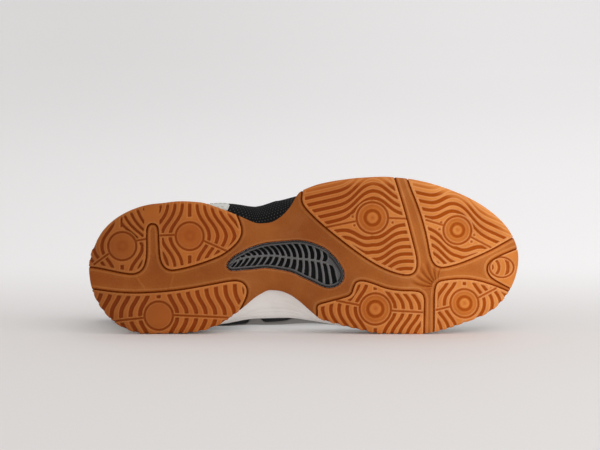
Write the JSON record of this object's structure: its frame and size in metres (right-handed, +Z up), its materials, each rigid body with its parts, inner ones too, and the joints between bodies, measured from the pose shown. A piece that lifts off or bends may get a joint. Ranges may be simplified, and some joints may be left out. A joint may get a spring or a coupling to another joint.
{
  "type": "indoor court shoe",
  "caption": "Right indoor court shoe on its side: gum rubber sole with tread pods and a ribbed shank, white foam midsole, mesh upper with overlays, tongue and lace.",
  "frame": {"origin": "middle of the shoe's box, at the floor it lies on", "axes": "+X from heel to toe, -Y out of the sole, +Z up; the medial side is underneath"},
  "size_m": [0.292, 0.123, 0.1053],
  "materials": {
    "outsole": "matte moulded gum rubber",
    "shank_plate": "satin moulded plastic",
    "midsole": "matte moulded foam",
    "upper": "open mesh over lining",
    "insole": "knitted footbed cover",
    "tongue": "padded mesh",
    "toe_guard": "fine-grained synthetic leather",
    "heel_counter": "smooth synthetic leather",
    "quarter_medial": "fine-grained synthetic leather",
    "eyestay": "fine-grained synthetic leather",
    "lace": "flat woven lace"
  },
  "bodies": {
    "root": {"outsole": "outsole", "shank_plate": "shank_plate", "midsole": "midsole", "upper": "upper", "insole": "insole", "tongue": "tongue", "toe_guard": "toe_guard", "heel_counter": "heel_counter", "quarter_medial": "quarter_medial", "eyestay": "eyestay", "lace": "lace"}
  },
  "joints": []
}
